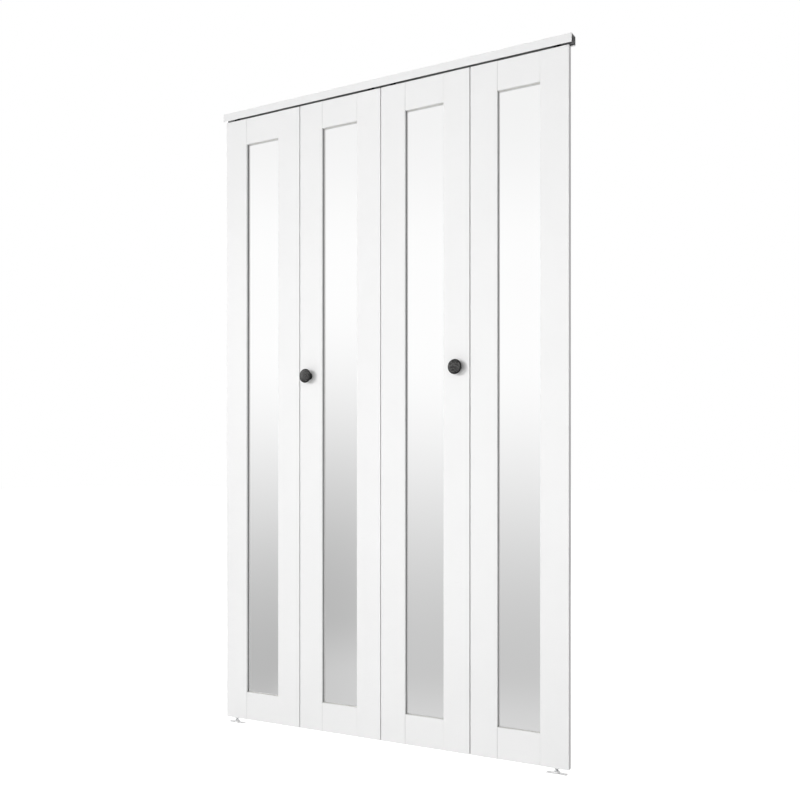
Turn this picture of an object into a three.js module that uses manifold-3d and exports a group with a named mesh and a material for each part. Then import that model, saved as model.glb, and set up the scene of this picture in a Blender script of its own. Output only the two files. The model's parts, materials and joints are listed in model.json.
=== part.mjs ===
// A four-panel mirrored bifold closet door with its header, track and pivot hardware.
// Lengths are in millimetres and +Z is up. +X runs to the right as seen from the room, and +Y runs back
// into the closet. The origin is the middle of the header's top face, above the centreline of the track.

import * as THREE from 'three';
import { mergeVertices } from 'three/addons/utils/BufferGeometryUtils.js';
import Module from 'manifold-3d';

const wasm = await Module();
wasm.setup();

// The opening in the wall that the door set fills
const openingWidth = 1219;
const openingHeight = 2045;

// Gaps round the closed panels
const jambGap = 9.5;
const foldGap = 3.5;
const centreGap = 2.8;
const topGap = 4;
const floorGap = 16;

// Painted header cover, a channel with a small lip at the bottom of its back wall
const coverHeight = 25;
const coverDepth = 33;
const coverWall = 1.5;
const coverLip = 5;
const coverReach = 14;

// Steel track inside the cover, a channel open at the bottom
const trackWidth = 22;
const trackHeight = 20;
const trackWall = 1.2;
const fixingHoleRadius = 2.4;
const fixingHolePitch = 300;

// Panel frames
const panelThickness = 18;
const stileWidth = 84;
const topRailHeight = 85.5;
const bottomRailHeight = 91.5;
const revealDepth = 8;
const rabbetWidth = 8;
const mirrorThickness = 3;
const boardThickness = 5;
const mirrorEdgeGap = 1;
const boardEdgeGap = 0.5;

// Clearances that all mating pieces share, and the overrun of every cut
const seatGap = 0.3;
const runningGap = 0.4;
const overrun = 1;
const weldDistance = 0.001;

// Hinges on the back faces
const hingeHeight = 64;
const hingeEndDistance = 178;
const leafReach = 30;
const leafThickness = 1.2;
const barrelRadius = 3.6;
const barrelSetback = 4;
const barrelRootOffset = 0.8;
const leafStart = 4.4;
const knuckleCount = 5;
const knuckleGap = 0.4;
const hingePinRadius = 1.5;
const hingePinHeadRadius = 3;
const hingePinHeadHeight = 1.2;
const leafScrewSetback = 18;
const leafScrewPitch = 36;
const leafScrewHeadRadius = 3.6;
const leafScrewHeadHeight = 0.8;
const leafScrewRadius = 1.7;
const leafScrewLength = 14;

// Drillings in the ends of the stiles, and the sleeves and stems that sit in them
const pivotSetback = 38;
const socketRadius = 5.8;
const socketDepth = 45;
const flangeRadius = 8;
const flangeThickness = 1.5;
const capRadius = 8.7;
const capThickness = 10;
const sleeveLand = 4;
const chamberRadius = 4.6;

// Sprung top pins
const topPinRadius = 3.1;
const topPinCollarHeight = 6;
const topPinTravel = 12;
const topPinBite = 7;
const springPressedLength = 12;
const tipChamfer = 0.8;

// Top pivot brackets, clamped inside the track
const topBracketLength = 46;
const topBracketHeight = 8;
const clampScrewOffset = 14;
const clampHeadRadius = 4.5;
const clampHeadHeight = 4;

// Guides and their rollers
const stemRadius = 3;
const stemCollarRadius = 5;
const stemCollarHeight = 1.5;
const stemHeadRadius = 4.2;
const stemHeadHeight = 1.2;
const rollerHeight = 7;
const rollerDepthInTrack = 6;
const rollerChamfer = 1;

// Bottom pivots and the floor brackets that carry them
const bottomPinRadius = 4;
const nutRadius = 6.5;
const nutHeight = 2.5;
const bracketPlate = 2;
const bracketLength = 60;
const bracketWidth = 18;
const bossRadius = 8.5;
const bossHeight = 5.5;
const bracketHoleRadius = 2.3;
const bracketHoleOffset = 20;

// Knobs, each with the bolt that holds it
const knobHeight = 1129;
const knobInset = 36;
const knobRadius = 22;
const knobProjection = 28.5;
const knobBaseRadius = 11;
const knobBaseHeight = 2;
const knobNeckRadius = 6.6;
const boltRadius = 2;
const boltHeadRadius = 4.2;
const boltHeadHeight = 2;

// The knob's outline from the middle of its face back to its neck, as shares of its radius and projection
const knobOutlineShares = [
  [0, 1],
  [0.45, 0.985],
  [0.78, 0.95],
  [0.93, 0.915],
  [0.985, 0.89],
  [1, 0.86],
  [0.985, 0.83],
  [0.92, 0.81],
  [0.65, 0.79],
  [0.42, 0.76],
  [0.32, 0.66],
];

// Fineness of the round pieces, in sides
const pinSides = 12;
const smallSides = 8;
const knobSides = 28;
const rollerSides = 24;
const arcSteps = 8;

// Sizes that follow from the ones above
const panelWidth = (openingWidth - 2 * jambGap - 2 * foldGap - centreGap) / 4;
const panelHeight = openingHeight - coverHeight - topGap - floorGap;
const panelTop = -coverHeight - topGap;
const floorLevel = -openingHeight;
const halfThickness = panelThickness / 2;
const paneHalfWidth = panelWidth / 2 - stileWidth;
const lightBottom = bottomRailHeight;
const lightTop = panelHeight - topRailHeight;
const mirrorFace = revealDepth - halfThickness;
const boardFace = mirrorFace + mirrorThickness;
const boardBack = boardFace + boardThickness;
const trackTop = -coverWall;
const trackCeiling = trackTop - trackWall;
const trackInnerHalf = trackWidth / 2 - trackWall;
const hingeAxis = centreGap / 2 + panelWidth + foldGap / 2;
const pivotAxis = openingWidth / 2 - jambGap - pivotSetback;
const fittingRadius = socketRadius - seatGap;
const fittingDepth = socketDepth - seatGap;
const topBoreRadius = topPinRadius + runningGap;
const knuckleLength = (hingeHeight - (knuckleCount - 1) * knuckleGap) / knuckleCount;
const hingeBoreRadius = hingePinRadius + runningGap;

const finishes = {
  paint: { color: 0xf3f3f1, roughness: 0.45, metalness: 0 },
  coverPaint: { color: 0xf1f1f0, roughness: 0.4, metalness: 0.1 },
  mirror: { color: 0xdfe3e5, roughness: 0.03, metalness: 1 },
  board: { color: 0x9c8467, roughness: 0.85, metalness: 0 },
  trackSteel: { color: 0x8d8f91, roughness: 0.45, metalness: 0.9 },
  zinc: { color: 0xb9bbbd, roughness: 0.38, metalness: 0.9 },
  pinSteel: { color: 0xc6c8ca, roughness: 0.25, metalness: 1 },
  blackPlastic: { color: 0x191919, roughness: 0.5, metalness: 0 },
  nylon: { color: 0xe6e3da, roughness: 0.55, metalness: 0 },
  knobIron: { color: 0x4b4a49, roughness: 0.55, metalness: 0.3 },
};

// Each finish is one material, shared by its pieces.
const materials = {};
for (const [name, values] of Object.entries(finishes)) {
  materials[name] = new THREE.MeshStandardMaterial(values);
}

function addPiece(parent, name, geometry, material, place = [0, 0, 0]) {
  const mesh = new THREE.Mesh(geometry, material);
  mesh.name = name;
  mesh.position.set(...place);
  parent.add(mesh);
  return mesh;
}

// A box between two x, two y and two z values, each pair in either order.
function block([x0, x1], [y0, y1], [z0, z1]) {
  const geometry = new THREE.BoxGeometry(Math.abs(x1 - x0), Math.abs(y1 - y0), Math.abs(z1 - z0));
  return geometry.translate((x0 + x1) / 2, (y0 + y1) / 2, (z0 + z1) / 2);
}

// A round or hexagonal bar along Z, from z0 to z1.
function uprightBar(radius, sides, x, y, [z0, z1]) {
  const geometry = new THREE.CylinderGeometry(radius, radius, Math.abs(z1 - z0), sides);
  return geometry.rotateX(Math.PI / 2).translate(x, y, (z0 + z1) / 2);
}

// A round bar along Y, from y0 to y1.
function crossBar(radius, sides, x, z, [y0, y1]) {
  const geometry = new THREE.CylinderGeometry(radius, radius, Math.abs(y1 - y0), sides);
  return geometry.translate(x, (y0 + y1) / 2, z);
}

// A turned piece about Y, from [radius, height] pairs that start and end on the axis or close on themselves.
function turned(profile, sides) {
  const points = profile.map(([radius, height]) => new THREE.Vector2(radius, height));
  return new THREE.LatheGeometry(points, sides);
}

// The same, with its axis stood up along Z.
function turnedUpright(profile, sides) {
  return turned(profile, sides).rotateX(Math.PI / 2);
}

// A closed solid for cutting and joining, from the positions of a geometry.
function toSolid(geometry) {
  const bare = new THREE.BufferGeometry();
  bare.setAttribute('position', geometry.getAttribute('position').clone());
  if (geometry.index) {
    bare.setIndex(geometry.index.clone());
  }
  const merged = mergeVertices(bare, weldDistance);
  const corners = Array.from(merged.index.array);
  const kept = [];
  for (let start = 0; start < corners.length; start += 3) {
    const triangle = corners.slice(start, start + 3);
    if (new Set(triangle).size === 3) {
      kept.push(...triangle);
    }
  }
  const vertProperties = new Float32Array(merged.getAttribute('position').array);
  const triVerts = new Uint32Array(kept);
  return new wasm.Manifold(new wasm.Mesh({ numProp: 3, vertProperties, triVerts }));
}

function toGeometry(solid) {
  const mesh = solid.getMesh();
  const geometry = new THREE.BufferGeometry();
  geometry.setAttribute('position', new THREE.BufferAttribute(mesh.vertProperties, 3));
  geometry.setIndex(new THREE.BufferAttribute(mesh.triVerts, 1));
  geometry.computeVertexNormals();
  return geometry;
}

// The first shapes joined into one, with the second ones cut away.
function shape(joined, cuts = []) {
  let solid = toSolid(joined[0]);
  for (const geometry of joined.slice(1)) {
    solid = solid.add(toSolid(geometry));
  }
  for (const geometry of cuts) {
    solid = solid.subtract(toSolid(geometry));
  }
  return toGeometry(solid);
}

// A channel section of [y, z] points, carried along X over the width of the opening.
function channel(points) {
  const section = new THREE.Shape(points.map(([y, z]) => new THREE.Vector2(y, z)));
  const geometry = new THREE.ExtrudeGeometry(section, { depth: openingWidth, bevelEnabled: false });
  geometry.translate(0, 0, -openingWidth / 2);
  const alongX = new THREE.Matrix4().makeBasis(
    new THREE.Vector3(0, 1, 0),
    new THREE.Vector3(0, 0, 1),
    new THREE.Vector3(1, 0, 0),
  );
  return geometry.applyMatrix4(alongX);
}

// Fixing holes through the top of the header, in pairs to the left and right of its middle.
function fixingHoles() {
  const holes = [];
  for (let x = fixingHolePitch / 2; x < openingWidth / 2; x += fixingHolePitch) {
    for (const side of [-1, 1]) {
      holes.push(uprightBar(fixingHoleRadius, smallSides, side * x, 0, [trackCeiling - overrun, overrun]));
    }
  }
  return holes;
}

function headerCover() {
  const front = -coverReach;
  const back = front + coverDepth;
  const section = [
    [front, 0],
    [front, -coverHeight],
    [front + coverWall, -coverHeight],
    [front + coverWall, -coverWall],
    [back - coverWall, -coverWall],
    [back - coverWall, coverWall - coverHeight],
    [back - coverLip, coverWall - coverHeight],
    [back - coverLip, -coverHeight],
    [back, -coverHeight],
    [back, 0],
  ];
  return shape([channel(section)], fixingHoles());
}

function headerTrack() {
  const outer = trackWidth / 2;
  const bottom = trackTop - trackHeight;
  const section = [
    [-outer, trackTop],
    [-outer, bottom],
    [-trackInnerHalf, bottom],
    [-trackInnerHalf, trackCeiling],
    [trackInnerHalf, trackCeiling],
    [trackInnerHalf, bottom],
    [outer, bottom],
    [outer, trackTop],
  ];
  return shape([channel(section)], fixingHoles());
}

// A block in the track, bored for the top pin, with the clamp screw that holds it towards the jamb.
function topBracket(side) {
  const top = trackCeiling - seatGap;
  const bottom = top - topBracketHeight;
  const half = topBracketLength / 2;
  const reach = trackInnerHalf - seatGap;
  const screw = side * (pivotAxis + clampScrewOffset);
  const body = block([side * pivotAxis - half, side * pivotAxis + half], [-reach, reach], [bottom, top]);
  const head = uprightBar(clampHeadRadius, 6, screw, 0, [bottom - clampHeadHeight, bottom + overrun]);
  const bore = uprightBar(topBoreRadius, pinSides, side * pivotAxis, 0, [bottom - overrun, top + overrun]);
  return shape([body, head], [bore]);
}

// A plate on the floor with a boss that takes the bottom pivot, and a screw hole on either side of it.
function bottomBracket(side) {
  const pivot = side * pivotAxis;
  const ends = [pivot - bracketLength / 2, pivot + bracketLength / 2];
  const plateTop = floorLevel + bracketPlate;
  const bossTop = plateTop + bossHeight;
  const plate = block(ends, [-bracketWidth / 2, bracketWidth / 2], [floorLevel, plateTop]);
  const boss = uprightBar(bossRadius, pinSides, pivot, 0, [floorLevel + bracketPlate / 2, bossTop]);
  const cuts = [uprightBar(bottomPinRadius + runningGap, pinSides, pivot, 0, [plateTop, bossTop + overrun])];
  for (const x of [pivot - bracketHoleOffset, pivot + bracketHoleOffset]) {
    cuts.push(uprightBar(bracketHoleRadius, smallSides, x, 0, [floorLevel - overrun, plateTop + overrun]));
  }
  return shape([plate, boss], cuts);
}

// Hinge places on a panel, measured up from its bottom edge.
const hingePlaces = {
  upper: panelHeight - hingeEndDistance,
  middle: panelHeight / 2,
  lower: hingeEndDistance,
};

// The two screw heights of a leaf, above and below the middle of its hinge.
const leafScrewOffsets = [-leafScrewPitch / 2, leafScrewPitch / 2];

// A stile on one edge of a panel: edge is -1 for the left one and +1 for the right one.
function stile(edge, drillings) {
  const inner = edge * paneHalfWidth;
  const outer = edge * panelWidth / 2;
  const body = block([inner, outer], [-halfThickness, halfThickness], [0, panelHeight]);
  const rabbet = block(
    [inner - edge * overrun, inner + edge * rabbetWidth],
    [mirrorFace, halfThickness + overrun],
    [lightBottom - rabbetWidth, lightTop + rabbetWidth],
  );
  return shape([body], [rabbet, ...drillings]);
}

// A rail between the stiles: end is -1 for the bottom one and +1 for the top one.
function rail(end) {
  const outer = end > 0 ? panelHeight : 0;
  const inner = end > 0 ? lightTop : lightBottom;
  const body = block([-paneHalfWidth, paneHalfWidth], [-halfThickness, halfThickness], [inner, outer]);
  const rabbet = block(
    [-paneHalfWidth - overrun, paneHalfWidth + overrun],
    [mirrorFace, halfThickness + overrun],
    [inner - end * overrun, inner + end * rabbetWidth],
  );
  return shape([body], [rabbet]);
}

// A flat pane that laps into the rabbets as far as its edge gap lets it.
function pane(front, back, edgeGap) {
  const lap = rabbetWidth - edgeGap;
  const half = paneHalfWidth + lap;
  return block([-half, half], [front, back], [lightBottom - lap, lightTop + lap]);
}

// Drillings for the hinge screws in the fold stile.
function hingeDrillings(fold) {
  const x = fold * (panelWidth / 2 + foldGap / 2 - leafScrewSetback);
  const depth = [halfThickness - leafScrewLength, halfThickness + overrun];
  const drillings = [];
  for (const place of Object.values(hingePlaces)) {
    for (const offset of leafScrewOffsets) {
      drillings.push(crossBar(leafScrewRadius + seatGap, smallSides, x, place + offset, depth));
    }
  }
  return drillings;
}

// One leaf about its hinge's middle, with the barrel axis at x = 0 and the stile's back face at y = 0.
// The leaf reaches towards +X. Its knuckles are those of the given parity, counted from the bottom.
function hingeLeaf(parity) {
  const half = hingeHeight / 2;
  const rootAngle = Math.asin((leafThickness - barrelSetback) / barrelRadius);
  const footDrop = Math.sqrt(barrelRadius ** 2 - barrelRootOffset ** 2);
  const footAngle = Math.atan2(-footDrop, barrelRootOffset);
  const section = new THREE.Shape();
  section.moveTo(barrelRootOffset, 0);
  section.lineTo(leafReach, 0);
  section.lineTo(leafReach, leafThickness);
  section.lineTo(barrelRadius * Math.cos(rootAngle), leafThickness);
  section.absarc(0, barrelSetback, barrelRadius, rootAngle, footAngle, false);
  section.closePath();
  const options = { depth: knuckleLength, bevelEnabled: false, curveSegments: arcSteps };
  const joined = [block([leafStart, leafReach], [0, leafThickness], [-half, half])];
  for (let number = 0; number < knuckleCount; number += 1) {
    if (number % 2 === parity) {
      const bottom = number * (knuckleLength + knuckleGap) - half;
      joined.push(new THREE.ExtrudeGeometry(section, options).translate(0, 0, bottom));
    }
  }
  const middleOfLeaf = leafThickness / 2;
  const shank = [leafThickness - leafScrewLength, middleOfLeaf];
  const head = [middleOfLeaf, leafThickness + leafScrewHeadHeight];
  for (const offset of leafScrewOffsets) {
    joined.push(crossBar(leafScrewRadius, smallSides, leafScrewSetback, offset, shank));
    joined.push(crossBar(leafScrewHeadRadius, smallSides, leafScrewSetback, offset, head));
  }
  const bore = uprightBar(hingeBoreRadius, pinSides, 0, barrelSetback, [-half - overrun, half + overrun]);
  return shape(joined, [bore]);
}

function hingePin() {
  const half = hingeHeight / 2;
  const headBottom = half + seatGap;
  const profile = [
    [0, -half],
    [hingePinRadius, -half],
    [hingePinRadius, headBottom],
    [hingePinHeadRadius, headBottom],
    [hingePinHeadRadius, headBottom + hingePinHeadHeight],
    [0, headBottom + hingePinHeadHeight],
  ];
  return turnedUpright(profile, pinSides);
}

// The plastic sleeve in the top of a jamb panel, with the panel's top edge at z = 0. Its chamber holds the
// pin's collar, the pin's travel and the pressed spring under it.
function topSleeve() {
  const chamberDepth = sleeveLand + seatGap + topPinCollarHeight + topPinTravel + springPressedLength;
  const profile = [
    [0, -fittingDepth],
    [fittingRadius, -fittingDepth],
    [fittingRadius, 0],
    [capRadius, 0],
    [capRadius, capThickness],
    [topBoreRadius, capThickness],
    [topBoreRadius, -sleeveLand],
    [chamberRadius, -sleeveLand],
    [chamberRadius, -chamberDepth],
    [0, -chamberDepth],
  ];
  return turnedUpright(profile, pinSides);
}

// The pin in that sleeve, held in by its collar, with its tip in the bracket's bore.
function topPin() {
  const collarRadius = chamberRadius - runningGap;
  const collarTop = -sleeveLand - seatGap;
  const collarBottom = collarTop - topPinCollarHeight;
  const tip = trackCeiling - seatGap - topBracketHeight + topPinBite - panelTop;
  const profile = [
    [0, collarBottom],
    [collarRadius, collarBottom],
    [collarRadius, collarTop],
    [topPinRadius, collarTop],
    [topPinRadius, tip - tipChamfer],
    [topPinRadius - tipChamfer, tip],
    [0, tip],
  ];
  return turnedUpright(profile, pinSides);
}

// Roller heights above the top edge of the panels.
const rollerTop = trackCeiling - rollerDepthInTrack - panelTop;
const rollerBottom = rollerTop - rollerHeight;

// The stem in the top of a lead panel, with a collar below the roller and a head above it.
function guideStem() {
  const collarTop = rollerBottom - runningGap;
  const headBottom = rollerTop + runningGap;
  const profile = [
    [0, -fittingDepth],
    [fittingRadius, -fittingDepth],
    [fittingRadius, 0],
    [capRadius, 0],
    [capRadius, capThickness],
    [stemRadius, capThickness],
    [stemRadius, collarTop - stemCollarHeight],
    [stemCollarRadius, collarTop - stemCollarHeight],
    [stemCollarRadius, collarTop],
    [stemRadius, collarTop],
    [stemRadius, headBottom],
    [stemHeadRadius, headBottom],
    [stemHeadRadius, headBottom + stemHeadHeight],
    [0, headBottom + stemHeadHeight],
  ];
  return turnedUpright(profile, pinSides);
}

function guideRoller() {
  const radius = trackInnerHalf - runningGap;
  const bore = stemRadius + runningGap;
  const profile = [
    [bore, rollerBottom],
    [radius - rollerChamfer, rollerBottom],
    [radius, rollerBottom + rollerChamfer],
    [radius, rollerTop - rollerChamfer],
    [radius - rollerChamfer, rollerTop],
    [bore, rollerTop],
    [bore, rollerBottom],
  ];
  return turnedUpright(profile, rollerSides);
}

// The pivot in the bottom of a jamb panel, with the panel's bottom edge at z = 0.
function bottomPivot() {
  const tip = bracketPlate + seatGap - floorGap;
  const nutBottom = -flangeThickness - nutHeight;
  const profile = [
    [0, tip],
    [bottomPinRadius - tipChamfer, tip],
    [bottomPinRadius, tip + tipChamfer],
    [bottomPinRadius, -flangeThickness],
    [flangeRadius, -flangeThickness],
    [flangeRadius, 0],
    [fittingRadius, 0],
    [fittingRadius, fittingDepth],
    [0, fittingDepth],
  ];
  const nut = uprightBar(nutRadius, 6, 0, 0, [nutBottom, -flangeThickness / 2]);
  return shape([turnedUpright(profile, pinSides), nut]);
}

// A round knob with its bolt, about the Y axis, set for the middle of the stile's thickness at y = 0.
function knob() {
  const profile = [];
  for (const [radiusShare, projectionShare] of knobOutlineShares) {
    profile.push([radiusShare * knobRadius, -halfThickness - projectionShare * knobProjection]);
  }
  profile.push(
    [knobNeckRadius, -halfThickness - 2 * knobBaseHeight],
    [knobBaseRadius, -halfThickness - knobBaseHeight],
    [knobBaseRadius, -halfThickness],
    [boltRadius, -halfThickness],
    [boltRadius, halfThickness],
    [boltHeadRadius, halfThickness],
    [boltHeadRadius, halfThickness + boltHeadHeight],
    [0, halfThickness + boltHeadHeight],
  );
  return turned(profile, knobSides);
}

const sideNames = new Map([[-1, 'left'], [1, 'right']]);

// The frame, mirror and board of one panel, with its bottom edge at z = 0 and its middle at x = 0.
// Role is jamb or lead, and fold is the edge, -1 or +1, that carries the hinges.
function framedPanel(prefix, role, fold) {
  const panel = new THREE.Group();
  const fittingX = -fold * (panelWidth / 2 - pivotSetback);
  const knobX = fold * (panelWidth / 2 - knobInset);
  const topSocket = [panelHeight - socketDepth, panelHeight + overrun];
  const fittingDrillings = [uprightBar(socketRadius, pinSides, fittingX, 0, topSocket)];
  const foldDrillings = hingeDrillings(fold);
  if (role === 'jamb') {
    fittingDrillings.push(uprightBar(socketRadius, pinSides, fittingX, 0, [-overrun, socketDepth]));
  } else {
    const through = [-halfThickness - overrun, halfThickness + overrun];
    foldDrillings.push(crossBar(boltRadius + seatGap, smallSides, knobX, knobHeight, through));
  }
  const fittingStileName = role === 'jamb' ? 'pivot_stile' : 'guide_stile';
  addPiece(panel, `${prefix}_hinge_stile`, stile(fold, foldDrillings), materials.paint);
  addPiece(panel, `${prefix}_${fittingStileName}`, stile(-fold, fittingDrillings), materials.paint);
  addPiece(panel, `${prefix}_top_rail`, rail(1), materials.paint);
  addPiece(panel, `${prefix}_bottom_rail`, rail(-1), materials.paint);
  addPiece(panel, `${prefix}_mirror`, pane(mirrorFace, boardFace, mirrorEdgeGap), materials.mirror);
  addPiece(panel, `${prefix}_back_board`, pane(boardFace, boardBack, boardEdgeGap), materials.board);
  return panel;
}

// The hinge pieces that one panel carries: a leaf at each hinge, and the pin on the lead panel.
function addHinges(panel, side, role, fold) {
  const axis = fold * (panelWidth / 2 + foldGap / 2);
  const parity = role === 'jamb' ? 0 : 1;
  for (const [place, height] of Object.entries(hingePlaces)) {
    const name = `${sideNames.get(side)}_${place}_hinge`;
    const leafPlace = [axis, halfThickness, height];
    const leaf = addPiece(panel, `${name}_${role}_leaf`, hingeLeaf(parity), materials.zinc, leafPlace);
    if (fold > 0) {
      leaf.rotation.y = Math.PI;
    }
    if (role === 'lead') {
      const pinPlace = [axis, halfThickness + barrelSetback, height];
      addPiece(panel, `${name}_pin`, hingePin(), materials.pinSteel, pinPlace);
    }
  }
}

function jambPanel(side) {
  const name = sideNames.get(side);
  const fold = -side;
  const panel = framedPanel(`${name}_jamb`, 'jamb', fold);
  const pivot = side * (panelWidth / 2 - pivotSetback);
  const top = [pivot, 0, panelHeight];
  addHinges(panel, side, 'jamb', fold);
  addPiece(panel, `${name}_top_pivot_sleeve`, topSleeve(), materials.blackPlastic, top);
  addPiece(panel, `${name}_top_pivot_pin`, topPin(), materials.pinSteel, top);
  addPiece(panel, `${name}_bottom_pivot`, bottomPivot(), materials.zinc, [pivot, 0, 0]);
  panel.position.set(side * (hingeAxis + foldGap / 2 + panelWidth / 2), 0, panelTop - panelHeight);
  return panel;
}

function leadPanel(side) {
  const name = sideNames.get(side);
  const fold = side;
  const panel = framedPanel(`${name}_lead`, 'lead', fold);
  const guideTop = [-side * (panelWidth / 2 - pivotSetback), 0, panelHeight];
  const knobPlace = [fold * (panelWidth / 2 - knobInset), 0, knobHeight];
  addHinges(panel, side, 'lead', fold);
  addPiece(panel, `${name}_guide_stem`, guideStem(), materials.blackPlastic, guideTop);
  addPiece(panel, `${name}_guide_roller`, guideRoller(), materials.nylon, guideTop);
  addPiece(panel, `${name}_knob`, knob(), materials.knobIron, knobPlace);
  panel.position.set(side * (centreGap / 2 + panelWidth / 2), 0, panelTop - panelHeight);
  return panel;
}

const door = new THREE.Group();
addPiece(door, 'header_cover', headerCover(), materials.coverPaint);
addPiece(door, 'header_track', headerTrack(), materials.trackSteel);
for (const side of sideNames.keys()) {
  const name = sideNames.get(side);
  addPiece(door, `${name}_top_bracket`, topBracket(side), materials.zinc);
  addPiece(door, `${name}_bottom_bracket`, bottomBracket(side), materials.coverPaint);
  door.add(jambPanel(side));
  door.add(leadPanel(side));
}

export default door;
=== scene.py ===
import json
import math

import bmesh
import bpy
import numpy as np
from bpy.props import FloatProperty, FloatVectorProperty, IntProperty, PointerProperty
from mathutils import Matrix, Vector

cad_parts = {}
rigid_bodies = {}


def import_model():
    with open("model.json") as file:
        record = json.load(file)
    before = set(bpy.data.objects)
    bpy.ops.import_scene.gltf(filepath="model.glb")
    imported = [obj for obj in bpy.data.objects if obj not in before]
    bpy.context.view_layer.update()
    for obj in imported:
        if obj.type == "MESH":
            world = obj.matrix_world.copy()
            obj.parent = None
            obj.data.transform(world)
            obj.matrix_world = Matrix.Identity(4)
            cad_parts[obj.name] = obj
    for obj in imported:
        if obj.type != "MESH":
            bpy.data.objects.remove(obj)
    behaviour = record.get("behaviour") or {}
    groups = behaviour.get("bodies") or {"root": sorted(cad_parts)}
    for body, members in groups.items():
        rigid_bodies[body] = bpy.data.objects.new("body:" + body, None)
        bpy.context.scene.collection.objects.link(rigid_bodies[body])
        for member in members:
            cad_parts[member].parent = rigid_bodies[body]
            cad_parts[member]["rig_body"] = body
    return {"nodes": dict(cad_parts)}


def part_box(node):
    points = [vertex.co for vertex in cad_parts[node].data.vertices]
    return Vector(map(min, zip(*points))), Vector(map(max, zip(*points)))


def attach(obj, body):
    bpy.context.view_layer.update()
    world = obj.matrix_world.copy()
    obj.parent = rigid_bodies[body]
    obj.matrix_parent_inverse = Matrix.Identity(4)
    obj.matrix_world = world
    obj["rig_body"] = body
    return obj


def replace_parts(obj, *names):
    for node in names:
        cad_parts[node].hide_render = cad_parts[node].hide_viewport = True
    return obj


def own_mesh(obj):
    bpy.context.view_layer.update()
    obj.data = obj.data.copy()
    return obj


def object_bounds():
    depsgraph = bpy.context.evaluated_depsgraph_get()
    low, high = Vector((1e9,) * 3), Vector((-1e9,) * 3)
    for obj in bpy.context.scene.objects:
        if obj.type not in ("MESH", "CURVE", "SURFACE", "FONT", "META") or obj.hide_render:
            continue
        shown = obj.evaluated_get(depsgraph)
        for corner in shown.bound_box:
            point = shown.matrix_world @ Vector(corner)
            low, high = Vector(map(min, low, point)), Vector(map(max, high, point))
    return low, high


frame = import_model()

bl_info = {
    "name": "Bifold closet door",
    "version": (1, 0, 0),
    "blender": (4, 5, 0),
    "location": "3D View > Sidebar > Closet door",
    "description": "Dresses a four-panel mirrored bifold closet door: paint, mirrors, hardware and stage",
    "category": "Add Mesh",
}

CAD_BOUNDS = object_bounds()
NODES = frame["nodes"]
MM = 0.001
SIDES = {"left": -1, "right": 1}
PLACES = ("upper", "middle", "lower")
IMAGE_PIXELS = 800
SENSOR_MM = 36.0


def nodes_ending(*endings):
    """The CAD nodes whose names end in one of the given ways."""
    return [node for node in NODES if node.endswith(endings)]


def span_of(node):
    """Lowest corner, highest corner and middle of a node's box, as arrays."""
    low, high = (np.array(corner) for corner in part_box(node))
    return low, high, (low + high) / 2


# Settings that a user would change

def tint(name, description, default):
    """A colour setting."""
    return FloatVectorProperty(
        name=name, description=description, subtype="COLOR", default=default, min=0, max=1)


def length(name, description, default, low, high):
    """A length setting with its limits."""
    return FloatProperty(name=name, description=description, subtype="DISTANCE", unit="LENGTH",
                         default=default, min=low, max=high)


def angle(name, description, degrees):
    """An angle setting."""
    return FloatProperty(name=name, description=description, subtype="ANGLE", unit="ROTATION",
                         default=math.radians(degrees))


def power(name, description, default):
    """The power setting of a lamp."""
    return FloatProperty(name=name, description=description, subtype="POWER", unit="POWER",
                         default=default, min=0)


class DoorColours(bpy.types.PropertyGroup):
    """Colours of the door's finishes."""

    paint: tint("Panel paint", "Satin paint of the stiles and rails", (0.869, 0.869, 0.868))
    header: tint("Header paint", "Powder coat of the header cover and floor brackets", (0.86, 0.86, 0.86))
    silver: tint("Mirror", "Silvering of the mirrors", (0.968, 0.969, 0.969))
    board: tint("Backing board", "Bare hardboard behind the mirrors", (0.33, 0.215, 0.13))
    zinc: tint("Zinc plate", "Plating of the hinges and top brackets", (0.6, 0.61, 0.62))
    steel: tint("Rolled steel", "Dull steel of the track", (0.3, 0.302, 0.305))
    bright: tint("Bright steel", "Drawn steel of the pins and screws", (0.69, 0.7, 0.71))
    # The black tapes beside the mirrors are painted shade, and the white strips at their ends are painted
    # light.
    plastic: tint("Black plastic", "Moulding of the sleeves, stems and tapes", (0.01, 0.01, 0.0105))
    nylon: tint("Nylon", "Moulding of the guide rollers and mirror strips", (0.78, 0.76, 0.7))
    knob: tint("Knob", "Mottled charcoal finish of the knobs", (0.052, 0.051, 0.05))


class DoorDetail(bpy.types.PropertyGroup):
    """Edge radii and fineness of the dressed pieces."""

    arris: length("Panel arris", "Eased edge of the stiles and rails", 1.0 * MM, 0.1 * MM, 2 * MM)
    metal_edge: length("Metal edge", "Eased edge of the folded metal", 0.3 * MM, 0.05 * MM, 0.6 * MM)
    sides: IntProperty(name="Sides", description="Sides of the turned pieces", default=48, min=24, max=96)
    glass_depth: length("Silvering depth", "Apparent depth of the silvering behind the glass face",
                        2 * MM, 0, 2.5 * MM)
    # The side tapes are painted shade along each mirror's sides.
    shade_tape_setback: length("Tape setback", "How far the side tapes lie behind the frame's inner edge",
                         0.5 * MM, 0.1 * MM, 5 * MM)
    brad_pitch: length("Brad pitch", "Distance between the brads that hold a backing board",
                       0.15, 0.05, 0.4)


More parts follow.
